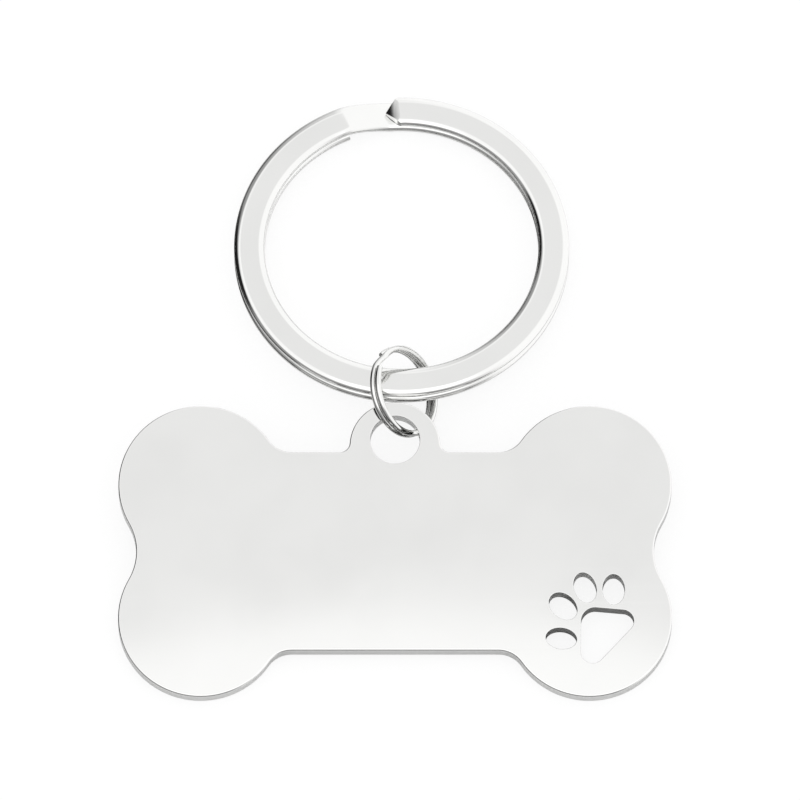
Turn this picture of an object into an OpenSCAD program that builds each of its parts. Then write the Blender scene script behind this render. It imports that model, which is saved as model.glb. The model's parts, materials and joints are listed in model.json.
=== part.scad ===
// Bone-shaped steel pet tag with a paw cut-out, a small link ring and a flat split ring,
// lying on a table. +X runs along the bone, +Y from the bone towards the split ring and
// +Z up. The origin is on the table, in the middle of the whole thing. Millimetres.

/* [Bone plate] */
// Overall length of the bone
tag_length = 50; // [44:0.5:60]
// Overall width of the bone, over its lobes
tag_width = 27.4; // [24:0.1:32]
// Thickness of the sheet
plate_thick = 1.5; // [1:0.1:1.6]
// Radius of each of the four lobes
lobe_r = 7.45; // [6.5:0.05:8]
// Width of the straight waist
waist_width = 18.7; // [16:0.1:21]
// Radius of the hollow between two lobes at each end
notch_fillet_r = 5.4; // [2:0.1:8]
// Radius of the hollow where a lobe meets the waist
neck_fillet_r = 2.5; // [0.5:0.1:4]

/* [Ear] */
// Radius of the ear's round top
ear_r = 4.1; // [3.8:0.05:4.5]
// Distance from the waist's edge out to the ear's centre
ear_rise = 0.6; // [0.2:0.05:1.2]
// Radius of the hollow where the ear meets the waist
ear_fillet_r = 0.9; // [0.3:0.1:2]
// Diameter of the hole for the link ring
ear_hole_d = 4.5; // [4.4:0.05:5]
// Distance from the ear's centre out to the hole's centre
ear_hole_rise = 0.55; // [0:0.05:0.8]

/* [Paw cut-out] */
// Width of the paw over its outer toes
paw_width = 8.8; // [6:0.1:9.5]
// Distance of the paw beyond the lobe's centre, along the bone
paw_out = 1.05; // [0:0.05:1.5]
// Distance of the paw beyond the lobe's centre, away from the ear
paw_down = 1.2; // [0:0.05:1.5]
// Angle of the paw's toes from the ear's direction
paw_turn = 45; // [0:5:90]

/* [Link ring] */
// Overall diameter of the link ring
link_outer_d = 8.4; // [8.2:0.1:10]
// Diameter of its round wire
link_wire_d = 0.55; // [0.4:0.01:0.6]
// Gap between its two turns
link_turn_gap = 0.05; // [0.02:0.01:0.1]
// Angle of the step from one turn to the other
link_crank_turn = 24; // [16:1:40]
// Place of the cut end, round the ring
link_cut_turn = 166; // [100:1:200]
// Slope of the ring where it leans on the ear
link_lean = 49.6; // [48:0.1:52]
// Twist of the leaning ring round the vertical
link_twist = -4.7; // [-6:0.1:-2]
// Place, round the ring, of the wire in the ear's hole
link_seat_turn = 267.2; // [265:0.1:270]
// Distance of that wire from the hole's centre, along the bone
link_seat_x = 0.35; // [0.2:0.01:0.45]
// Distance of that wire from the hole's centre, towards the split ring
link_seat_y = 1.08; // [0.8:0.01:1.15]

/* [Split ring] */
// Overall diameter of the split ring
split_outer_d = 30.4; // [24:0.1:40]
// Width of its flat wire, across the ring
split_wire_width = 2.8; // [1.8:0.1:3]
// Thickness of its flat wire
split_wire_thick = 0.95; // [0.7:0.05:1.1]
// Gap between its two turns
split_turn_gap = 0.1; // [0.05:0.01:0.2]
// Radius of the wire's edges
split_edge_r = 0.44; // [0.2:0.01:0.45]
// Place of the pointed end's tip, round the ring
split_cut_turn = 96; // [60:1:120]
// Angle of the step from one turn to the other
split_crank_turn = 15; // [10:1:24]
// Length of the pointed end
split_point_length = 1.25; // [0.6:0.05:2]
// Thickness left at the tip of the pointed end
split_tip_thick = 0.45; // [0.05:0.01:0.6]
// Angle of the gap between the tip and the step
split_cut_gap_turn = 1; // [0.5:0.5:3]
// Free space between the wire and the link ring's far bend
split_play_y = 1.38; // [1.3:0.01:1.8]
// Free space between the wire and the link ring's low side
split_play_z = 0.83; // [0.75:0.01:1]
// Offset of the split ring from the link ring, along the bone
split_side = -0.2; // [-0.4:0.05:0]

/* [Hidden] */
$fn = 96;
steel = [0.84, 0.84, 0.83];

// How far a cut runs past the face that it cuts
overrun = 1;

// A ring's step from one turn to the other: its rows of points, the angle that each end
// runs on inside the turn that it joins, and its section there as a share of the turn's
step_rows = 10;
step_lap_turn = 2;
step_section_share = 0.94;

// Plate, drawn about the bone's centre, with its arcs in sides of this angle
arc_side_turn = 5;
lobe_x = tag_length / 2 - lobe_r;
lobe_y = tag_width / 2 - lobe_r;
waist_y = waist_width / 2;
notch_x = lobe_x + sqrt((lobe_r + notch_fillet_r)^2 - lobe_y^2);
neck_y = waist_y + neck_fillet_r;
neck_x = lobe_x - sqrt((lobe_r + neck_fillet_r)^2 - (neck_y - lobe_y)^2);
ear_y = waist_y + ear_rise;
ear_foot_y = waist_y + ear_fillet_r;
ear_foot_x = sqrt((ear_r + ear_fillet_r)^2 - (ear_foot_y - ear_y)^2);
ear_hole_y = ear_y + ear_hole_rise;
ear_turn = atan2(ear_foot_y - ear_y, ear_foot_x);
neck_turn = atan2(lobe_y - neck_y, lobe_x - neck_x);
notch_turn = atan2(-lobe_y, notch_x - lobe_x);

// Paw: each toe's place and half sizes, and each pad corner's place and radius,
// as shares of the paw's width, with the toes upwards
toe_shares = [
    [-0.351, 0.227, 0.160, 0.112],
    [-0.094, 0.457, 0.165, 0.123],
    [0.206, 0.438, 0.164, 0.114],
    [0.400, 0.217, 0.162, 0.114]
];
toe_turns = [127, 90, 62, 47];
pad_shares = [
    [0.027, 0.112, 0.145],
    [-0.223, -0.100, 0.122],
    [0.224, -0.084, 0.119]
];
oval_sides = 48;
band_corner_sides = 16;

// Link ring: it leans, with its low side on the table and one strand in the ear's hole
wire_sides = 16;
link_centre_r = (link_outer_d - link_wire_d) / 2;
link_pitch = link_wire_d + link_turn_gap;
link_across = [cos(link_lean) * cos(link_twist), cos(link_lean) * sin(link_twist), -sin(link_lean)];
link_along = [-sin(link_twist), cos(link_twist), 0];
link_half_height = link_pitch / 2 * cos(link_lean) + link_wire_d / 2;
link_centre_z = link_centre_r * sin(link_lean) + link_half_height;
link_section = [for (i = [0 : wire_sides - 1])
    link_wire_d / 2 * [cos(360 * i / wire_sides), sin(360 * i / wire_sides)]];

// The plate's far edge rests on the table, and the strand holds the ear up
seat_z = link_centre_z - link_centre_r * cos(link_seat_turn) * sin(link_lean);
seat_reach = tag_width / 2 + ear_hole_y + link_seat_y;
plate_tilt = asin(seat_z / norm([seat_reach, plate_thick / 2])) - atan2(plate_thick / 2, seat_reach);
seat_y = seat_reach * cos(plate_tilt) - plate_thick / 2 * sin(plate_tilt);
seat_point = [link_seat_x, seat_y, seat_z];
seat_arm = link_centre_r * (cos(link_seat_turn) * link_across + sin(link_seat_turn) * link_along);
link_centre = seat_point - seat_arm;

// Split ring: its far side is on the table and its near side passes through the link ring.
// A rounded edge takes less than half of the wire's thickness.
split_edge_limit_share = 0.47;
split_round_r = min(split_edge_r, split_edge_limit_share * split_wire_thick);
split_outer_r = split_outer_d / 2;
split_mean_r = split_outer_r - split_wire_width / 2;
split_pitch = split_wire_thick + split_turn_gap;
split_height = split_pitch + split_wire_thick;
near_z = link_centre_z - link_centre_r * sin(link_lean) + link_half_height + split_play_z + split_height / 2;
near_y = link_centre.y + link_centre_r - link_wire_d / 2 - split_wire_width / 2 - split_play_y;
split_span = split_outer_r - split_round_r + split_mean_r;
split_flat = split_height / 2 - split_round_r;
split_tilt = asin((near_z - split_round_r) / norm([split_span, split_flat])) - atan2(split_flat, split_span);
near_point = [link_centre.x + split_side, near_y, near_z];
split_centre = near_point + split_mean_r * [0, cos(split_tilt), -sin(split_tilt)];
split_step_from = split_cut_turn + split_cut_gap_turn;
split_step_to = split_step_from + split_crank_turn;
split_point_slope = atan2(split_wire_thick - split_tip_thick, split_point_length);
corner_sides = 2;
split_section = [for (corner = [0 : 3], i = [0 : corner_sides])
    let (turn = 90 * (corner + i / corner_sides),
         side_x = corner == 0 || corner == 3 ? 1 : -1,
         side_z = corner < 2 ? 1 : -1)
    [side_x * (split_wire_width / 2 - split_round_r) + split_round_r * cos(turn),
     side_z * (split_wire_thick / 2 - split_round_r) + split_round_r * sin(turn)]];

// The whole thing is centred on the origin along Y
low_y = -plate_thick * sin(plate_tilt);
high_y = split_centre.y + (split_outer_r - split_round_r) * cos(split_tilt)
    + split_flat * sin(split_tilt) + split_round_r;
centring = [0, -(low_y + high_y) / 2, 0];

module place_plate() {
    translate(centring) rotate([plate_tilt, 0, 0]) translate([0, tag_width / 2, 0]) children();
}

module place_link() {
    translate(centring + link_centre) rotate([0, 0, link_twist]) rotate([0, link_lean, 0]) children();
}

module place_split() {
    translate(centring + split_centre) rotate([-split_tilt, 0, 0]) children();
}

// Points along an arc, without its ends where trim is 1
function arc(centre, r, from, to, trim = 0) = let (sides = ceil(abs(to - from) / arc_side_turn))
    [for (i = [trim : sides - trim])
        let (turn = from + (to - from) * i / sides)
        [centre.x + r * cos(turn), centre.y + r * sin(turn)]];

function mirrored(points, x_sign, y_sign) =
    [for (i = [len(points) - 1 : -1 : 0]) [x_sign * points[i].x, y_sign * points[i].y]];

// The bone's outline, clockwise: hollows keep their ends, and the discs between them don't
function bone_points() =
    let (neck_and_lobe = concat(
             arc([neck_x, neck_y], neck_fillet_r, -90, neck_turn),
             arc([lobe_x, lobe_y], lobe_r, neck_turn + 180, notch_turn, 1)),
         right_side = concat(
             arc([ear_foot_x, ear_foot_y], ear_fillet_r, ear_turn + 180, 270),
             neck_and_lobe,
             arc([notch_x, 0], notch_fillet_r, notch_turn + 180, 180 - notch_turn),
             mirrored(neck_and_lobe, 1, -1)))
    concat(arc([0, ear_y], ear_r, 180 - ear_turn, ear_turn, 1), right_side, mirrored(right_side, -1, 1));

module oval(long_r, short_r) {
    polygon([for (i = [0 : oval_sides - 1])
        [long_r * cos(360 * i / oval_sides), short_r * sin(360 * i / oval_sides)]]);
}

// Direction of the outward normal of the line that touches discs a and b, each [x, y, radius]
function touch_turn(a, b) =
    atan2(b.y - a.y, b.x - a.x) - acos((a[2] - b[2]) / norm([b.x - a.x, b.y - a.y]));

// The outline of a band stretched round discs that are listed anticlockwise
function band_points(discs) = let (count = len(discs)) [for (i = [0 : count - 1])
    let (disc = discs[i],
         from = touch_turn(discs[(i + count - 1) % count], disc),
         arc = (touch_turn(disc, discs[(i + 1) % count]) - from + 720) % 360)
    for (k = [0 : band_corner_sides])
        let (turn = from + arc * k / band_corner_sides)
        [disc.x + disc[2] * cos(turn), disc.y + disc[2] * sin(turn)]];

module paw() {
    for (i = [0 : len(toe_shares) - 1]) {
        toe = toe_shares[i] * paw_width;
        translate([toe.x, toe.y]) rotate(toe_turns[i]) oval(toe[2], toe[3]);
    }
    polygon(band_points(pad_shares * paw_width));
}

module tag_plate() {
    color(steel) place_plate() difference() {
        linear_extrude(plate_thick) polygon(bone_points());
        translate([0, ear_hole_y, -overrun])
            cylinder(d = ear_hole_d, h = plate_thick + 2 * overrun);
        translate([lobe_x + paw_out, -lobe_y - paw_down, -overrun])
            linear_extrude(plate_thick + 2 * overrun) rotate(paw_turn) paw();
    }
}

// Eases from 0 to 1, level at both ends
function ease(t) = t * t * (3 - 2 * t);

// A solid through rows of points
module sweep(rows) {
    count = len(rows[0]);
    last = len(rows) - 1;
    sides = [for (i = [0 : last - 1], j = [0 : count - 1])
        let (a = i * count + j, b = i * count + (j + 1) % count)
        each [[a, b, a + count], [b, b + count, a + count]]];
    start_cap = [for (j = [count - 1 : -1 : 0]) j];
    end_cap = [for (j = [0 : count - 1]) last * count + j];
    polyhedron([for (row = rows) each row], concat(sides, [start_cap, end_cap]), convexity = 4);
}

// The step of a ring whose turns have this section about this radius, "rise" high
module step(section, radius, from, to, rise) {
    lap = step_lap_turn / (to - from);
    sweep([for (t = concat([-lap], [for (i = [0 : step_rows]) i / step_rows], [1 + lap]))
        let (turn = from + t * (to - from), z = rise * (ease(max(0, min(1, t))) - 1 / 2))
        [for (p = step_section_share * section)
            [(radius + p.x) * cos(turn), (radius + p.x) * sin(turn), z + p.y]]]);
}

module link_ring() {
    span = 360 - link_crank_turn;
    color(steel) place_link() {
        for (side = [-1, 1])
            translate([0, 0, side * link_pitch / 2]) rotate(link_cut_turn)
                rotate_extrude(angle = span) translate([link_centre_r, 0]) circle(d = link_wire_d);
        step(link_section, link_centre_r, link_cut_turn - link_crank_turn, link_cut_turn, -link_pitch);
    }
}

module flat_section() {
    flat_x = split_wire_width / 2 - split_round_r;
    flat_z = split_wire_thick / 2 - split_round_r;
    translate([split_mean_r, 0]) {
        square([split_wire_width, 2 * flat_z], center = true);
        square([2 * flat_x, split_wire_thick], center = true);
        for (x = [-flat_x, flat_x], z = [-flat_z, flat_z])
            translate([x, z]) circle(split_round_r);
    }
}

module split_turn(from, to) {
    rotate(from) rotate_extrude(angle = to - from) flat_section();
}

// What is cut off a turn's end to leave a point that slopes down to its tip
module point_cut() {
    reach = split_wire_width / 2 + overrun;
    shoulder = -split_point_length * reach / (split_wire_width / 2);
    rotate(split_cut_turn) translate([split_mean_r, 0]) {
        translate([0, 0, -split_wire_thick])
            linear_extrude(2 * split_wire_thick)
                polygon([[0, 0], [reach, shoulder], [reach, reach], [-reach, reach], [-reach, shoulder]]);
        translate([-reach, -split_point_length, split_wire_thick / 2])
            rotate([-split_point_slope, 0, 0]) cube([2 * reach, 2 * reach, split_wire_thick]);
    }
}

module split_ring() {
    color(steel) place_split() {
        translate([0, 0, -split_pitch / 2]) split_turn(split_step_to - 360, split_step_from);
        step(split_section, split_mean_r, split_step_from, split_step_to, split_pitch);
        translate([0, 0, split_pitch / 2]) difference() {
            split_turn(split_step_to - 360, split_step_from);
            point_cut();
        }
    }
}

tag_plate();
link_ring();
split_ring();
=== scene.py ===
import json
from math import acos, asin, atan2, ceil, cos, degrees, hypot, pi, radians, sin, sqrt, tan
import bpy
from mathutils import Matrix, Vector


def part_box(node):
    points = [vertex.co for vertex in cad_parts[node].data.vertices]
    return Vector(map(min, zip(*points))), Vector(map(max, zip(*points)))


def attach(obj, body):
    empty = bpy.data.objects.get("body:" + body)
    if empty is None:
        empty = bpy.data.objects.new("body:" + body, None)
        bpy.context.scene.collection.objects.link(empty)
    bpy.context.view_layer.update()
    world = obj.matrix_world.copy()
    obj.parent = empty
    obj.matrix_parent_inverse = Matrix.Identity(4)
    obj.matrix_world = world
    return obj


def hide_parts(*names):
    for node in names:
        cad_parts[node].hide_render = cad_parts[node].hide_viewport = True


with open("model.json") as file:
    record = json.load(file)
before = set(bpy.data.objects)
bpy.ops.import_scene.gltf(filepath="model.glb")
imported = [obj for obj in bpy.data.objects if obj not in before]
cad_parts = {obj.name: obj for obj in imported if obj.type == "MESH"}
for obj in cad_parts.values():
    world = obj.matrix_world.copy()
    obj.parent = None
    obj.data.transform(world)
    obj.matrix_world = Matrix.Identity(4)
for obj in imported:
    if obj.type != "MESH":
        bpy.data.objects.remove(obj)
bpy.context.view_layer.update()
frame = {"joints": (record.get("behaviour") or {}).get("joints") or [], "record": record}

# Pieces are drawn in millimetres, and made metres when they are put in place. Angles are in degrees
MM = 0.001

# Bone plate
PLATE_LENGTH = 50
PLATE_WIDTH = 27.4
PLATE_THICK = 1.5
LOBE_R = 7.45
WAIST_WIDTH = 18.7
NOTCH_FILLET_R = 5.4
NECK_FILLET_R = 2.5
PLATE_EDGE_R = 0.15
HOLE_EDGE_R = 0.05

# Ear
EAR_R = 4.1
EAR_RISE = 0.6
EAR_FILLET_R = 0.9
EAR_HOLE_R = 2.25
EAR_HOLE_RISE = 0.55

# Paw cut-out: toes and pad corners are shares of its width
PAW_WIDTH = 8.8
PAW_OUT = 1.05
PAW_DOWN = 1.2
PAW_TURN = 45
# Each toe's place, half length, half width and turn
TOE_SHARES = (
    (-0.351, 0.227, 0.160, 0.112, 127),
    (-0.094, 0.457, 0.165, 0.123, 90),
    (0.206, 0.438, 0.164, 0.114, 62),
    (0.400, 0.217, 0.162, 0.114, 47),
)
# Each pad corner's place and radius
PAD_SHARES = (
    (0.027, 0.112, 0.145),
    (-0.223, -0.100, 0.122),
    (0.224, -0.084, 0.119),
)

# Link ring
LINK_OUTER_R = 4.2
LINK_WIRE_R = 0.275
LINK_END_EDGE_R = LINK_WIRE_R / 4
LINK_TURN_GAP = 0.05
LINK_CRANK_TURN = 24
LINK_CUT_TURN = 166
LINK_LEAN = 49.6
LINK_TWIST = -4.7
LINK_SEAT_TURN = 267.2

# Split ring: the edges of its wire are oval, and reach further across the wire than through it
SPLIT_OUTER_R = 15.2
SPLIT_WIDTH = 2.8
SPLIT_THICK = 0.95
SPLIT_TURN_GAP = 0.1
SPLIT_EDGE_R = 0.45
SPLIT_EDGE_REACH = 0.75
SPLIT_CUT_TURN = 96
SPLIT_CRANK_TURN = 17.5
SPLIT_CRANK_LEAD_TURN = 1.5
SPLIT_CRANK_EASING = 0.3

# Split ring's pointed upper end: a shallow slope, then a steeper one down to the tip
SPLIT_POINT_LENGTH = 1.25
SPLIT_SHALLOW_SLOPE = 19
SPLIT_SLOPE_LENGTH = 0.68
SPLIT_TIP_THICK = 0.3
SPLIT_POINT_EDGE_R = 0.05

# How finely arcs, turns and edges are divided
ARC_STEP = 4
TURN_STEP = 2.5
CRANK_ROWS = 12
TOE_SIDES = 64
EAR_HOLE_SIDES = 96
WIRE_SIDES = 24
WIRE_EDGE_SEGMENTS = 8
PLATE_EDGE_SEGMENTS = 4
END_EDGE_SEGMENTS = 2

# How much the large faces set the shading at their edges, out of 100
LARGE_FACES_RULE = 100

# The least angle between faces that counts as an edge to round
PLATE_SHARP = 40
LINK_SHARP = 60
SPLIT_SHARP = 15

# Small lengths: how far cutters stand out, which points are one, and how close the halves join
OVERRUN = 1
TINY = 1e-5
HALVES_JOIN = 1e-4


def on_circle(centre, radius, turn):
    """The point of a circle at an angle."""
    return Vector((centre[0] + radius * cos(radians(turn)), centre[1] + radius * sin(radians(turn)), 0))


def turn_towards(a, b):
    """The direction from point a to point b."""
    return degrees(atan2(b[1] - a[1], b[0] - a[0]))


def edit(select="SELECT"):
    """Starts to edit the active piece, with all or none of it selected."""
    bpy.ops.object.mode_set(mode="EDIT")
    bpy.ops.mesh.select_all(action=select)


def leave_edit():
    bpy.ops.object.mode_set(mode="OBJECT")


def named(name):
    """Names the piece that was just added."""
    piece = bpy.context.object
    piece.name = name
    piece.data.name = name
    return piece


def alone(piece):
    """Makes a piece the only selected one."""
    bpy.ops.object.select_all(action="DESELECT")
    piece.select_set(True)
    bpy.context.view_layer.objects.active = piece


def settle():
    """Applies the selected piece's place, turn and size to its mesh."""
    bpy.ops.object.transform_apply(location=True, rotation=True, scale=True)


def apply_all(piece):
    """Applies a piece's modifiers in their order."""
    alone(piece)
    for modifier in list(piece.modifiers):
        bpy.ops.object.modifier_apply(modifier=modifier.name)


def face_outwards():
    """Turns all the faces of the edited piece outwards, and ends the edit."""
    bpy.ops.mesh.select_all(action="SELECT")
    bpy.ops.mesh.normals_make_consistent(inside=False)
    leave_edit()


def spin(turn, steps, centre=(0, 0, 0)):
    """Extrudes the selected part round Z, anticlockwise when the turn is above zero."""
    bpy.ops.mesh.spin(steps=steps, angle=-radians(turn), center=centre, axis=(0, 0, 1))


def trace(name, arcs, end=None):
    """Draws arcs, each (centre, radius, from, to), joined by straight lines, in the XY plane."""
    bpy.ops.object.select_all(action="DESELECT")
    bpy.ops.mesh.primitive_plane_add(size=TINY)
    outline = named(name)
    edit()
    bpy.ops.mesh.merge(type="CENTER")
    at = Vector((0, 0, 0))
    for i, (centre, radius, first, last) in enumerate(arcs):
        start = on_circle(centre, radius, first)
        if i == 0:
            bpy.ops.transform.translate(value=start)
        elif (start - at).length > TINY:
            bpy.ops.mesh.extrude_region_move(TRANSFORM_OT_translate={"value": start - at})
        steps = max(1, ceil(abs(last - first) / ARC_STEP))
        spin(last - first, steps, (centre[0], centre[1], 0))
        at = on_circle(centre, radius, last)
    if end:
        bpy.ops.mesh.extrude_region_move(TRANSFORM_OT_translate={"value": Vector(end) - at})
    leave_edit()
    return outline


def thicken(piece, bottom, height):
    """Fills an outline and gives it its height."""
    alone(piece)
    edit()
    bpy.ops.mesh.remove_doubles(threshold=TINY)
    bpy.ops.mesh.edge_face_add()
    bpy.ops.transform.translate(value=(0, 0, bottom))
    bpy.ops.mesh.extrude_region_move(TRANSFORM_OT_translate={"value": (0, 0, height)})
    face_outwards()


def soften(piece, radius, sharp, segments, past_short_sides=False):
    """Rounds a piece's sharp edges and smooths its shading."""
    alone(piece)
    bpy.ops.object.shade_smooth()
    bevel = piece.modifiers.new("rounded edges", "BEVEL")
    bevel.width = radius
    bevel.segments = segments
    bevel.limit_method = "ANGLE"
    bevel.angle_limit = radians(sharp)
    bevel.harden_normals = True
    bevel.use_clamp_overlap = not past_short_sides
    apply_all(piece)


def put_in_place(piece, place):
    """Moves a finished piece into the frame and makes it metres."""
    alone(piece)
    piece.matrix_world = place @ Matrix.Scale(MM, 4)
    settle()


# Where the bone's arcs are centred
lobe = (PLATE_LENGTH / 2 - LOBE_R, PLATE_WIDTH / 2 - LOBE_R)
low_lobe = (lobe[0], -lobe[1])
waist_y = WAIST_WIDTH / 2
notch = (lobe[0] + sqrt((LOBE_R + NOTCH_FILLET_R) ** 2 - lobe[1] ** 2), 0)
neck_y = waist_y + NECK_FILLET_R
neck = (lobe[0] - sqrt((LOBE_R + NECK_FILLET_R) ** 2 - (neck_y - lobe[1]) ** 2), neck_y)
low_neck = (neck[0], -neck[1])
ear = (0, waist_y + EAR_RISE)
ear_foot_y = waist_y + EAR_FILLET_R
ear_foot = (sqrt((EAR_R + EAR_FILLET_R) ** 2 - (ear_foot_y - ear[1]) ** 2), ear_foot_y)
ear_hole = (0, ear[1] + EAR_HOLE_RISE)
paw = (lobe[0] + PAW_OUT, low_lobe[1] - PAW_DOWN)


def half_bone():
    """The arcs of the bone's right half, clockwise from the ear's top."""
    ear_turn = turn_towards(ear, ear_foot)
    neck_turn = turn_towards(neck, lobe)
    notch_turn = turn_towards(lobe, notch)
    return (
        (ear, EAR_R, 90, ear_turn),
        (ear_foot, EAR_FILLET_R, ear_turn + 180, 270),
        (neck, NECK_FILLET_R, -90, neck_turn),
        (lobe, LOBE_R, neck_turn + 180, notch_turn),
        (notch, NOTCH_FILLET_R, notch_turn + 180, 180 - notch_turn),
        (low_lobe, LOBE_R, -notch_turn, -neck_turn - 180),
        (low_neck, NECK_FILLET_R, -neck_turn, 90),
    )


def pad_arcs(corners):
    """The arcs of a band stretched round three corners, each (x, y, radius), anticlockwise."""
    arcs = []
    count = len(corners)
    touch = []
    for i in range(count):
        a = corners[i]
        b = corners[(i + 1) % count]
        reach = hypot(b[0] - a[0], b[1] - a[1])
        touch.append(turn_towards(a, b) - degrees(acos((a[2] - b[2]) / reach)))
    for i, (x, y, radius) in enumerate(corners):
        first = touch[i - 1]
        sweep = (touch[i] - first) % 360
        arcs.append(((x, y), radius, first, first + sweep))
    return arcs


def make_paw():
    """The five solids that are cut out of the plate, as one object."""
    height = PLATE_THICK + 2 * OVERRUN
    corners = [[PAW_WIDTH * share for share in corner] for corner in PAD_SHARES]
    pad = trace("paw", pad_arcs(corners))
    thicken(pad, -OVERRUN, height)
    toes = []
    for x, y, long_share, short_share, turn in TOE_SHARES:
        bpy.ops.object.select_all(action="DESELECT")
        bpy.ops.mesh.primitive_cylinder_add(
            vertices=TOE_SIDES,
            radius=PAW_WIDTH,
            depth=height,
            location=(x * PAW_WIDTH, y * PAW_WIDTH, PLATE_THICK / 2),
            rotation=(0, 0, radians(turn)),
        )
        toe = bpy.context.object
        toe.scale = (long_share, short_share, 1)
        settle()
        toes.append(toe)
    alone(pad)
    for toe in toes:
        toe.select_set(True)
    bpy.ops.object.join()
    pad.rotation_euler = (0, 0, radians(PAW_TURN))
    pad.location = (paw[0], paw[1], 0)
    settle()
    return pad


def make_tag_plate():
    """The bone. Its outer edges are rounded before the holes are cut, so that no hole limits them."""
    plate = trace("bone_plate", half_bone(), end=(0, -waist_y, 0))
    mirror = plate.modifiers.new("other half", "MIRROR")
    mirror.merge_threshold = HALVES_JOIN
    apply_all(plate)
    thicken(plate, 0, PLATE_THICK)
    soften(plate, PLATE_EDGE_R, PLATE_SHARP, PLATE_EDGE_SEGMENTS, past_short_sides=True)
    bpy.ops.object.select_all(action="DESELECT")
    bpy.ops.mesh.primitive_cylinder_add(
        vertices=EAR_HOLE_SIDES,
        radius=EAR_HOLE_R,
        depth=PLATE_THICK + 2 * OVERRUN,
        location=(ear_hole[0], ear_hole[1], PLATE_THICK / 2),
    )
    hole = named("ear_hole")
    for cutter in (hole, make_paw()):
        cut = plate.modifiers.new("cut", "BOOLEAN")
        cut.operation = "DIFFERENCE"
        cut.solver = "EXACT"
        cut.object = cutter
        apply_all(plate)
        bpy.data.objects.remove(cutter)
    soften(plate, HOLE_EDGE_R, PLATE_SHARP, PLATE_EDGE_SEGMENTS, past_short_sides=True)
    flat = plate.modifiers.new("flat faces stay flat", "WEIGHTED_NORMAL")
    flat.weight = LARGE_FACES_RULE
    apply_all(plate)
    put_in_place(plate, plate_place())
    return plate


def plate_place():
    """Where the plate lies: its near edge is on the table and the link ring holds its ear up."""
    low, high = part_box("tag_plate")
    length = (PLATE_WIDTH / 2 + ear[1] + EAR_R) * MM
    thick = PLATE_THICK * MM
    tilt = asin((high[2] - low[2]) / hypot(length, thick)) - atan2(thick, length)
    near_y = low[1] + thick * sin(tilt)
    half_width = PLATE_WIDTH / 2 * MM
    centre = Vector((0, near_y + half_width * cos(tilt), half_width * sin(tilt)))
    return Matrix.Translation(centre) @ Matrix.Rotation(tilt, 4, "X")


def mount(name):
    return next(m for m in frame["record"]["mounts"] if m["name"] == name)


def joint(name):
    return next(j for j in frame["joints"] if j["name"] == name)


def sweep_turn(turn):
    """Carries the selected section round the ring's axis."""
    spin(turn, max(1, round(abs(turn) / TURN_STEP)))


def sweep_crank(turn, rise, easing=1):
    """Carries the selected section round and up or down to the other turn. Easing 0 makes a straight ramp."""
    before = 0
    for row in range(1, CRANK_ROWS + 1):
        share = row / CRANK_ROWS
        eased = share + easing * (share * share * (3 - 2 * share) - share)
        spin(turn / CRANK_ROWS, 1)
        bpy.ops.transform.translate(value=(0, 0, rise * (eased - before)))
        before = eased


def close_ends(piece):
    """Closes a swept wire at its ends."""
    alone(piece)
    edit()
    bpy.ops.mesh.remove_doubles(threshold=TINY)
    bpy.ops.mesh.fill_holes(sides=0)
    face_outwards()


def make_link_ring():
    """The small ring, swept from its upper end down to its lower one."""
    mean_r = LINK_OUTER_R - LINK_WIRE_R
    pitch = 2 * LINK_WIRE_R + LINK_TURN_GAP
    bpy.ops.object.select_all(action="DESELECT")
    bpy.ops.mesh.primitive_circle_add(
        vertices=WIRE_SIDES,
        radius=LINK_WIRE_R,
        fill_type="NGON",
        location=on_circle((0, 0), mean_r, LINK_CUT_TURN) + Vector((0, 0, pitch / 2)),
        rotation=(pi / 2, 0, radians(LINK_CUT_TURN)),
    )
    ring = named("link_ring_wire")
    settle()
    edit()
    sweep_turn(360 - LINK_CRANK_TURN)
    sweep_crank(LINK_CRANK_TURN, -pitch)
    sweep_turn(360 - LINK_CRANK_TURN)
    leave_edit()
    close_ends(ring)
    soften(ring, LINK_END_EDGE_R, LINK_SHARP, END_EDGE_SEGMENTS)
    put_in_place(ring, link_place())
    return ring


def link_place():
    """Where the link ring leans: its seat is the strand in the ear's hole."""
    turned = Matrix.Rotation(radians(LINK_TWIST), 3, "Z") @ Matrix.Rotation(radians(LINK_LEAN), 3, "Y")
    seat = Vector(joint("link_swing")["pos_m"])
    mean_r = LINK_OUTER_R - LINK_WIRE_R
    centre = seat - turned @ on_circle((0, 0), mean_r * MM, LINK_SEAT_TURN)
    return Matrix.Translation(centre) @ turned.to_4x4()


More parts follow.
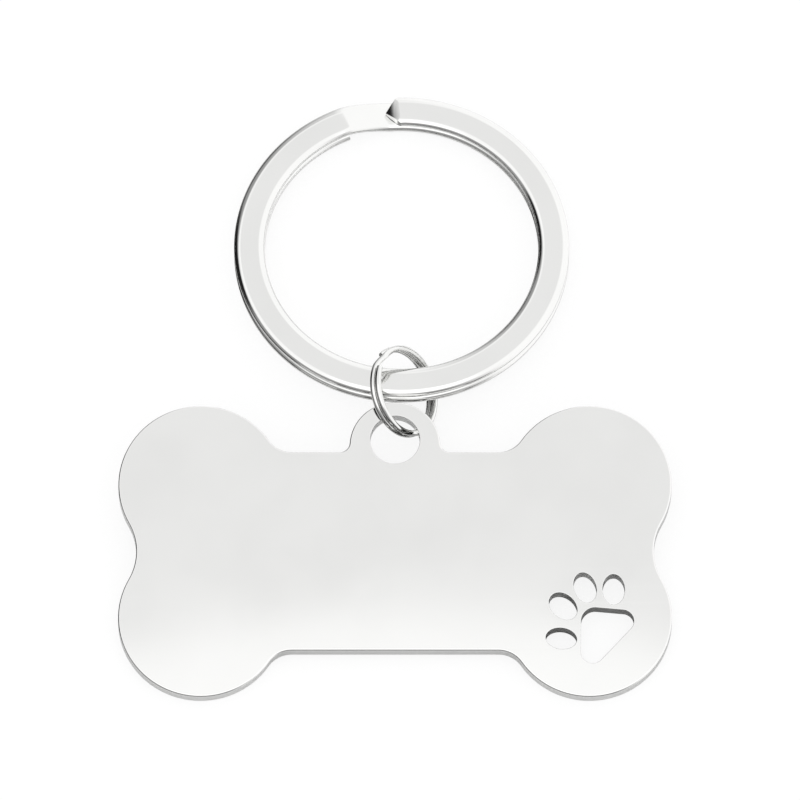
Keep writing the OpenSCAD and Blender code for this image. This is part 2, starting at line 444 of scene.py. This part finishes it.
def make_split_ring():
    """The large ring, swept from its lower end up to its pointed one. Its step starts under the point."""
    mean_r = SPLIT_OUTER_R - SPLIT_WIDTH / 2
    pitch = SPLIT_THICK + SPLIT_TURN_GAP
    low_end = SPLIT_CUT_TURN - SPLIT_CRANK_LEAD_TURN + SPLIT_CRANK_TURN - 360
    bpy.ops.object.select_all(action="DESELECT")
    bpy.ops.mesh.primitive_plane_add(size=1)
    ring = named("split_ring_wire")
    stretch = SPLIT_EDGE_REACH / SPLIT_EDGE_R
    ring.scale = (SPLIT_WIDTH / stretch, SPLIT_THICK, 1)
    settle()
    edit()
    bpy.ops.mesh.bevel(offset=SPLIT_EDGE_R, segments=WIRE_EDGE_SEGMENTS, affect="VERTICES")
    leave_edit()
    ring.scale = (stretch, 1, 1)
    settle()
    ring.rotation_euler = (pi / 2, 0, radians(low_end))
    ring.location = on_circle((0, 0), mean_r, low_end) - Vector((0, 0, pitch / 2))
    settle()
    edit()
    sweep_turn(360 - SPLIT_CRANK_TURN)
    sweep_crank(SPLIT_CRANK_TURN, pitch, SPLIT_CRANK_EASING)
    sweep_turn(360 - SPLIT_CRANK_TURN + SPLIT_CRANK_LEAD_TURN)
    leave_edit()
    close_ends(ring)
    sharpen(ring, mean_r, pitch)
    soften(ring, SPLIT_POINT_EDGE_R, SPLIT_SHARP, END_EDGE_SEGMENTS)
    put_in_place(ring, split_place())
    return ring


def split_place():
    """Where the split ring lies: its far side is on the table and its near side on the link ring."""
    loop = mount("collar_loop")
    tilt = asin(Vector(loop["axis"]).y)
    return Matrix.Translation(loop["pos_m"]) @ Matrix.Rotation(-tilt, 4, "X")


def sharpen(ring, mean_r, pitch):
    """Cuts the upper end to a point that slopes down in two steps to its tip."""
    tip = on_circle((0, 0), mean_r, SPLIT_CUT_TURN) + Vector((0, 0, pitch / 2))
    out = on_circle((0, 0), 1, SPLIT_CUT_TURN)
    ahead = on_circle((0, 0), 1, SPLIT_CUT_TURN + 90)
    up = Vector((0, 0, 1))
    flank = atan2(SPLIT_POINT_LENGTH, SPLIT_WIDTH / 2)
    shallow = radians(SPLIT_SHALLOW_SLOPE)
    drop = (SPLIT_POINT_LENGTH - SPLIT_SLOPE_LENGTH) * tan(shallow)
    steep = atan2(SPLIT_THICK - drop - SPLIT_TIP_THICK, SPLIT_SLOPE_LENGTH)
    shoulder = tip - ahead * SPLIT_POINT_LENGTH + up * SPLIT_THICK / 2
    low_tip = tip + up * (SPLIT_TIP_THICK - SPLIT_THICK / 2)
    cuts = (
        (tip, ahead * cos(flank) + out * sin(flank)),
        (tip, ahead * cos(flank) - out * sin(flank)),
        (shoulder, up * cos(shallow) + ahead * sin(shallow)),
        (low_tip, up * cos(steep) + ahead * sin(steep)),
    )
    reach = 2 * SPLIT_POINT_LENGTH
    alone(ring)
    for point, normal in cuts:
        edit("DESELECT")
        leave_edit()
        for face in ring.data.polygons:
            centre = face.center
            back = -(centre - tip).dot(ahead)
            close = (centre - tip).length < 2 * reach
            face.select = -TINY < back < reach and centre.z > 0 and close
        bpy.ops.object.mode_set(mode="EDIT")
        bpy.ops.mesh.bisect(plane_co=point, plane_no=normal, use_fill=True, clear_outer=True)
        leave_edit()


# Materials

PLATE_COLOUR = (0.86, 0.86, 0.85)
PLATE_ROUGHNESS = 0.09
WIRE_COLOUR = (0.84, 0.84, 0.83)
WIRE_ROUGHNESS = 0.07
RUBBED_COLOUR = (0.93, 0.93, 0.925, 1)

# Cloudy polish: patches a metre, how much darker they are, and how they change the roughness
CLOUD_PATCHES = 120.0
SMALL_CLOUD_PATCHES = 400.0
CLOUD_DETAIL = 3.0
CLOUD_GRAIN = 0.55
CLOUD_SHADE = 0.965
CLOUD_SHADE_BAND = (0.25, 0.6)
CLOUD_DULL_BAND = (0.2, 0.8)
CLOUD_DULL_FROM = 0.85
CLOUD_DULL_TO = 1.2

# Hairlines and drawn lines: lines a metre, and how coarse the few scratches are against them
MARK_FINENESS = 9000.0
HAIRLINE_STRETCH = 60.0
HAIRLINE_SCRATCH_SHARE = 0.22
DRAWN_TURN_LENGTH = 0.0002
DRAWN_SCRATCH_SHARE = 0.3
MARK_DETAIL = 2.0
MARK_GRAIN = 0.6
SCRATCH_DETAIL = 1.0
SCRATCH_BAND = (0.66, 0.74)
SCRATCH_DULLNESS = 0.022
MARK_STRENGTH = 0.12
MARK_DEPTH = 2e-6

# Worn edges: a cosine between the true and the rounded surface, from which wear starts and is full
WEAR_REACH = 0.0002
WEAR_SAMPLES = 4
WEAR_BAND = (0.995, 0.9)
WEAR_SHARE = 0.5
WEAR_DULLNESS = 0.04

# The plate's face is not quite flat
PLATE_WAVE = 4e-6
WAVES_A_METRE = 55.0


def node(tree, kind, inputs=(), **settings):
    """Adds a node, with its inputs given as values or as other nodes' outputs."""
    made = tree.nodes.new(kind)
    for key, value in settings.items():
        setattr(made, key, value)
    for key, value in dict(inputs).items():
        if isinstance(value, bpy.types.NodeSocket):
            tree.links.new(value, made.inputs[key])
        else:
            made.inputs[key].default_value = value
    return made


def maths(tree, operation, *values):
    """Adds one step of arithmetic and gives its result."""
    return node(tree, "ShaderNodeMath", dict(enumerate(values)), operation=operation).outputs[0]


def spread(tree, value, low, high, to_low=0, to_high=1, smooth=False):
    """Maps a value from one range to another, held at both ends."""
    kind = "SMOOTHSTEP" if smooth else "LINEAR"
    ends = {"Value": value, "From Min": low, "From Max": high, "To Min": to_low, "To Max": to_high}
    return node(tree, "ShaderNodeMapRange", ends, interpolation_type=kind).outputs[0]


def noise(tree, where, scale, detail, grain=0.5):
    """Adds a noise texture and gives its value."""
    inputs = {"Vector": where, "Scale": scale, "Detail": detail, "Roughness": grain}
    return node(tree, "ShaderNodeTexNoise", inputs).outputs[0]


def share_towards(tree, towards, direction):
    """How far a direction agrees with another one, as the cosine of the angle between them."""
    step = node(tree, "ShaderNodeVectorMath", {0: towards, 1: direction}, operation="DOT_PRODUCT")
    return step.outputs["Value"]


def effect(name, inputs, outputs):
    """Starts a node group. Inputs are (name, kind, value) and outputs are names of numbers."""
    tree = bpy.data.node_groups.new(name, "ShaderNodeTree")
    for label, kind, value in inputs:
        socket = tree.interface.new_socket(label, in_out="INPUT", socket_type="NodeSocket" + kind)
        if value is not None:
            socket.default_value = value
    for label in outputs:
        tree.interface.new_socket(label, in_out="OUTPUT", socket_type="NodeSocketFloat")
    return tree, tree.nodes.new("NodeGroupInput"), tree.nodes.new("NodeGroupOutput")


def make_cloudy_polish():
    """Soft patches that a polishing wheel leaves, from 0 to 1."""
    tree, given, result = effect(
        "cloudy polish",
        (("Vector", "Vector", None), ("Patches", "Float", CLOUD_PATCHES)),
        ("Tone",),
    )
    cloud = noise(tree, given.outputs["Vector"], given.outputs["Patches"], CLOUD_DETAIL, CLOUD_GRAIN)
    tree.links.new(cloud, result.inputs["Tone"])
    return tree


def end_marks(tree, given, result, where, scratch_share):
    """Ends a group of marks: fine lines as a height, and a few coarser ones as a mask of scratches."""
    fineness = given.outputs["Fineness"]
    lines = noise(tree, where, fineness, MARK_DETAIL, MARK_GRAIN)
    coarse = noise(tree, where, maths(tree, "MULTIPLY", fineness, scratch_share), SCRATCH_DETAIL)
    tree.links.new(lines, result.inputs["Height"])
    tree.links.new(spread(tree, coarse, *SCRATCH_BAND), result.inputs["Scratches"])


def make_hairlines():
    """Fine polishing lines along X, with a few longer scratches."""
    tree, given, result = effect(
        "hairlines",
        (
            ("Vector", "Vector", None),
            ("Fineness", "Float", MARK_FINENESS),
            ("Stretch", "Float", HAIRLINE_STRETCH),
        ),
        ("Height", "Scratches"),
    )
    apart = node(tree, "ShaderNodeSeparateXYZ", {0: given.outputs["Vector"]})
    drawn = maths(tree, "DIVIDE", apart.outputs["X"], given.outputs["Stretch"])
    places = {"X": drawn, "Y": apart.outputs["Y"], "Z": apart.outputs["Z"]}
    along = node(tree, "ShaderNodeCombineXYZ", places).outputs[0]
    end_marks(tree, given, result, along, HAIRLINE_SCRATCH_SHARE)
    return tree


def make_drawn_wire():
    """Faint lines along a ring's wire, for a ring centred on its own axis."""
    tree, given, result = effect(
        "drawn wire",
        (
            ("Vector", "Vector", None),
            ("Fineness", "Float", MARK_FINENESS),
            ("Turn Length", "Float", DRAWN_TURN_LENGTH),
        ),
        ("Height", "Scratches"),
    )
    apart = node(tree, "ShaderNodeSeparateXYZ", {0: given.outputs["Vector"]})
    across = maths(tree, "POWER", apart.outputs["X"], 2.0)
    forward = maths(tree, "POWER", apart.outputs["Y"], 2.0)
    out = maths(tree, "SQRT", maths(tree, "ADD", across, forward))
    angle = maths(tree, "ARCTAN2", apart.outputs["Y"], apart.outputs["X"])
    travel = maths(tree, "MULTIPLY", angle, given.outputs["Turn Length"])
    places = {"X": out, "Y": travel, "Z": apart.outputs["Z"]}
    unrolled = node(tree, "ShaderNodeCombineXYZ", places).outputs[0]
    end_marks(tree, given, result, unrolled, DRAWN_SCRATCH_SHARE)
    return tree


def make_worn_edge():
    """Shows where a surface turns sharply, as a mask for handling wear."""
    tree, given, result = effect("worn edge", (("Reach", "Float", WEAR_REACH),), ("Mask",))
    rounded = node(tree, "ShaderNodeBevel", {"Radius": given.outputs["Reach"]}, samples=WEAR_SAMPLES)
    true = node(tree, "ShaderNodeNewGeometry")
    alike = share_towards(tree, rounded.outputs[0], true.outputs["Normal"])
    tree.links.new(spread(tree, alike, *WEAR_BAND), result.inputs["Mask"])
    return tree


def steel(name, colour, roughness, marks, centre, patches=CLOUD_PATCHES, wave=0.0):
    """Polished stainless steel with cloudy patches, fine marks and brighter, rubbed edges."""
    material = bpy.data.materials.new(name)
    material.use_nodes = True
    tree = material.node_tree
    tree.nodes.clear()
    held = node(tree, "ShaderNodeTexCoord").outputs["Object"]
    place = node(tree, "ShaderNodeMapping", {"Vector": held}, vector_type="TEXTURE")
    place.inputs["Location"].default_value = centre.to_translation()
    place.inputs["Rotation"].default_value = centre.to_euler()
    where = place.outputs[0]
    cloud = node(tree, "ShaderNodeGroup", node_tree=groups["cloudy polish"])
    tree.links.new(where, cloud.inputs["Vector"])
    cloud.inputs["Patches"].default_value = patches
    lines = node(tree, "ShaderNodeGroup", node_tree=groups[marks])
    tree.links.new(where, lines.inputs["Vector"])
    lines.inputs["Fineness"].default_value = MARK_FINENESS
    wear = node(tree, "ShaderNodeGroup", node_tree=groups["worn edge"])
    darker = [CLOUD_SHADE * part for part in colour] + [1]
    tone = node(tree, "ShaderNodeMix", {"A": darker, "B": (*colour, 1)}, data_type="RGBA")
    tree.links.new(spread(tree, cloud.outputs["Tone"], *CLOUD_SHADE_BAND), tone.inputs["Factor"])
    colours = {"A": tone.outputs["Result"], "B": RUBBED_COLOUR}
    rubbed = node(tree, "ShaderNodeMix", colours, data_type="RGBA")
    tree.links.new(maths(tree, "MULTIPLY", wear.outputs["Mask"], WEAR_SHARE), rubbed.inputs["Factor"])
    dull_from = CLOUD_DULL_FROM * roughness
    dull_to = CLOUD_DULL_TO * roughness
    dull = spread(tree, cloud.outputs["Tone"], *CLOUD_DULL_BAND, dull_from, dull_to)
    scratched = maths(tree, "MULTIPLY_ADD", lines.outputs["Scratches"], SCRATCH_DULLNESS, dull)
    worn = maths(tree, "MULTIPLY_ADD", wear.outputs["Mask"], WEAR_DULLNESS, scratched)
    fine = {"Height": lines.outputs["Height"], "Strength": MARK_STRENGTH, "Distance": MARK_DEPTH}
    normal = node(tree, "ShaderNodeBump", fine).outputs[0]
    if wave:
        swell = noise(tree, where, WAVES_A_METRE, 0.0)
        flexed = {"Height": swell, "Strength": 1.0, "Distance": wave, "Normal": normal}
        normal = node(tree, "ShaderNodeBump", flexed).outputs[0]
    shader = node(
        tree,
        "ShaderNodeBsdfPrincipled",
        {"Base Color": rubbed.outputs["Result"], "Metallic": 1.0, "Roughness": worn, "Normal": normal},
    )
    output = node(tree, "ShaderNodeOutputMaterial")
    tree.links.new(shader.outputs["BSDF"], output.inputs["Surface"])
    return material


def dress(piece, material):
    """Gives a piece its only material."""
    piece.data.materials.clear()
    piece.data.materials.append(material)


# Floor. The steel mirrors it as matt white with painted shade under the paw's hole, and glossy at a low angle

WHITE = (1, 1, 1, 1)
FLOOR_SIZE = 0.3
FLOOR_WHITE = 0.86
FLOOR_GLOW = 0.86
FLOOR_SHADOW_SHARE = 0.17
FLOOR_SHINE_ROUGHNESS = 0.15
FLOOR_FACING_BLEND = 0.5
FLOOR_GRAZING_BAND = (0.2, 0.55)
# Painted shade: the matt floor that the steel mirrors is painted darker round a spot under the paw's hole,
# standing in for the shade under the plate
PAINTED_SHADE_LEVEL = 0.3
PAINTED_SHADE_R = 5.5
PAINTED_SHADE_FADE_SHARE = 0.85

# Camera, in metres but for its scale
CAMERA_ELEVATION = 66.84
CAMERA_REACH = 3
CAMERA_CLIP_START = 0.01
PIXELS_PER_MM = 11.04
IMAGE_PIXELS = 800
VIEW_CENTRE = (0.000453, 0.000265, 0)

# Lamp, in metres
LAMP_HEIGHT = 0.2
LAMP_EDGE_Y = 0.0129
LAMP_WIDTH = 0.19
LAMP_RADIANCE = 0.22

# Room. Edges and fades are cosines to the direction that is named, and heights are sines
AMBIENT = 0.93
ROOM_BRIGHTER = 0.2
OVERHEAD_TOWARDS = (0, 0.36, 0.933)
OVERHEAD_EDGE = (0.975, 0.92)
GREY_CARD_TOWARDS = (-0.89, -0.456, 0)
GREY_CARD_FADE = (-0.5, 0.1)
GREY_CARD_HEIGHT = (0.6, 0.78)
GREY_CARD_LEVEL = 0.3
GREY_CARD_FOOT = (0.12, 0.3)
GREY_CARD_FOOT_LEVEL = 0.07
BLACK_CARD_TOWARDS = (-0.872, 0.361, 0.331)
BLACK_CARD_EDGE = (0.91, 0.97)
BLACK_CARD_LEVEL = 0.03


def make_floor():
    """A white table. Seen straight on it is nearly plain white with a faint shadow. In the steel it shows
    painted shade under the paw's hole.
    """
    bpy.ops.object.select_all(action="DESELECT")
    bpy.ops.mesh.primitive_plane_add(size=FLOOR_SIZE)
    floor = named("floor")
    material = bpy.data.materials.new("white table")
    material.use_nodes = True
    tree = material.node_tree
    tree.nodes.clear()
    where = node(tree, "ShaderNodeTexCoord").outputs["Object"]
    # Painted shade: the matt floor seen in the steel darkens towards this spot under the paw's hole
    spot = plate_place() @ (Vector((paw[0], paw[1], 0)) * MM)
    away = node(tree, "ShaderNodeVectorMath", {0: where, 1: (spot.x, spot.y, 0)}, operation="DISTANCE")
    spot_r = PAINTED_SHADE_R * MM
    under = spread(tree, away.outputs["Value"], spot_r, PAINTED_SHADE_FADE_SHARE * spot_r)
    level_with_painted_shade = spread(tree, under, 0, 1, FLOOR_WHITE, PAINTED_SHADE_LEVEL)
    white = node(tree, "ShaderNodeCombineColor", {"Red": level_with_painted_shade, "Green": level_with_painted_shade, "Blue": level_with_painted_shade})
    matt = node(tree, "ShaderNodeBsdfDiffuse", {"Color": white.outputs[0]})
    shiny = node(tree, "ShaderNodeBsdfGlossy", {"Color": WHITE, "Roughness": FLOOR_SHINE_ROUGHNESS})
    facing = node(tree, "ShaderNodeLayerWeight", {"Blend": FLOOR_FACING_BLEND})
    grazing = spread(tree, facing.outputs["Facing"], *FLOOR_GRAZING_BAND)
    plain = node(tree, "ShaderNodeMixShader", {0: grazing, 1: matt.outputs[0], 2: shiny.outputs[0]})
    shade = (FLOOR_SHADOW_SHARE, FLOOR_SHADOW_SHARE, FLOOR_SHADOW_SHARE, 1)
    faint = node(tree, "ShaderNodeBsdfDiffuse", {"Color": shade})
    glow = node(tree, "ShaderNodeEmission", {"Color": WHITE, "Strength": FLOOR_GLOW})
    seen = node(tree, "ShaderNodeAddShader", {0: faint.outputs[0], 1: glow.outputs[0]})
    by_camera = node(tree, "ShaderNodeLightPath").outputs["Is Camera Ray"]
    mixed = node(tree, "ShaderNodeMixShader", {0: by_camera, 1: plain.outputs[0], 2: seen.outputs[0]})
    output = node(tree, "ShaderNodeOutputMaterial")
    tree.links.new(mixed.outputs[0], output.inputs["Surface"])
    dress(floor, material)


def background(tree, strength):
    """Adds a white background of some strength and gives its shader."""
    return node(tree, "ShaderNodeBackground", {"Color": WHITE, "Strength": strength}).outputs[0]


def make_world():
    """White behind the object. The steel mirrors a bright room, dimmer overhead, with two low cards."""
    world = bpy.data.worlds.new("studio")
    bpy.context.scene.world = world
    world.use_nodes = True
    tree = world.node_tree
    tree.nodes.clear()
    towards = node(tree, "ShaderNodeTexCoord").outputs["Generated"]
    height = node(tree, "ShaderNodeSeparateXYZ", {0: towards}).outputs["Z"]
    overhead = share_towards(tree, towards, OVERHEAD_TOWARDS)
    room = spread(tree, overhead, *OVERHEAD_EDGE, AMBIENT, AMBIENT + ROOM_BRIGHTER, smooth=True)
    side = spread(tree, share_towards(tree, towards, GREY_CARD_TOWARDS), *GREY_CARD_FADE, smooth=True)
    low = spread(tree, height, *GREY_CARD_HEIGHT, 1, 0, smooth=True)
    grey = maths(tree, "MULTIPLY", side, low)
    card_levels = (GREY_CARD_FOOT_LEVEL, GREY_CARD_LEVEL)
    card_level = spread(tree, height, *GREY_CARD_FOOT, *card_levels, smooth=True)
    taken = maths(tree, "MULTIPLY", grey, maths(tree, "SUBTRACT", 1, card_level))
    dimmed = maths(tree, "MULTIPLY", room, maths(tree, "SUBTRACT", 1, taken))
    spot = share_towards(tree, towards, BLACK_CARD_TOWARDS)
    black = spread(tree, spot, *BLACK_CARD_EDGE, 1, BLACK_CARD_LEVEL, smooth=True)
    mirrored = background(tree, maths(tree, "MULTIPLY", dimmed, black))
    path = node(tree, "ShaderNodeLightPath")
    plain = background(tree, AMBIENT)
    white = background(tree, 1.0)
    by_mirror = path.outputs["Is Glossy Ray"]
    lit = node(tree, "ShaderNodeMixShader", {0: by_mirror, 1: plain, 2: mirrored}).outputs[0]
    by_camera = path.outputs["Is Camera Ray"]
    seen = node(tree, "ShaderNodeMixShader", {0: by_camera, 1: lit, 2: white}).outputs[0]
    output = node(tree, "ShaderNodeOutputWorld")
    tree.links.new(seen, output.inputs["Surface"])


def make_lamp():
    """A round soft lamp overhead, whose far edge fades out in the lower half of the plate."""
    data = bpy.data.lights.new("soft lamp", "AREA")
    data.shape = "DISK"
    data.size = LAMP_WIDTH
    data.energy = LAMP_RADIANCE * pi * pi * (LAMP_WIDTH / 2) ** 2
    lamp = bpy.data.objects.new("soft lamp", data)
    lamp.location = (0, LAMP_EDGE_Y - LAMP_WIDTH / 2, LAMP_HEIGHT)
    lamp.visible_camera = False
    bpy.context.collection.objects.link(lamp)


def make_camera():
    """A distant camera in front of the object, with a long lens."""
    camera_data = bpy.data.cameras.new("camera")
    camera = bpy.data.objects.new("camera", camera_data)
    bpy.context.collection.objects.link(camera)
    lean = radians(90 - CAMERA_ELEVATION)
    camera.rotation_euler = (lean, 0, 0)
    camera.location = Vector(VIEW_CENTRE) + CAMERA_REACH * Vector((0, -sin(lean), cos(lean)))
    view_width = IMAGE_PIXELS / PIXELS_PER_MM * MM
    camera_data.lens = camera_data.sensor_width * CAMERA_REACH / view_width
    camera_data.clip_start = CAMERA_CLIP_START
    bpy.context.scene.camera = camera


groups = {
    "cloudy polish": make_cloudy_polish(),
    "hairlines": make_hairlines(),
    "drawn wire": make_drawn_wire(),
    "worn edge": make_worn_edge(),
}
plate = make_tag_plate()
link = make_link_ring()
split = make_split_ring()
plate_steel = steel(
    "polished plate", PLATE_COLOUR, PLATE_ROUGHNESS, "hairlines", plate_place(), wave=PLATE_WAVE
)
link_steel = steel(
    "bright wire", WIRE_COLOUR, WIRE_ROUGHNESS, "drawn wire", link_place(), SMALL_CLOUD_PATCHES
)
ring_steel = steel("bright flat wire", PLATE_COLOUR, PLATE_ROUGHNESS, "drawn wire", split_place())
for piece, node_name, slot, finish in (
    (plate, "tag_plate", "plate_steel", plate_steel),
    (link, "link_ring", "link_steel", link_steel),
    (split, "split_ring", "ring_steel", ring_steel),
):
    dress(piece, finish)
    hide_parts(node_name)
    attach(piece, node_name)
make_floor()
make_world()
make_lamp()
make_camera()
bpy.context.scene.view_settings.view_transform = "Standard"
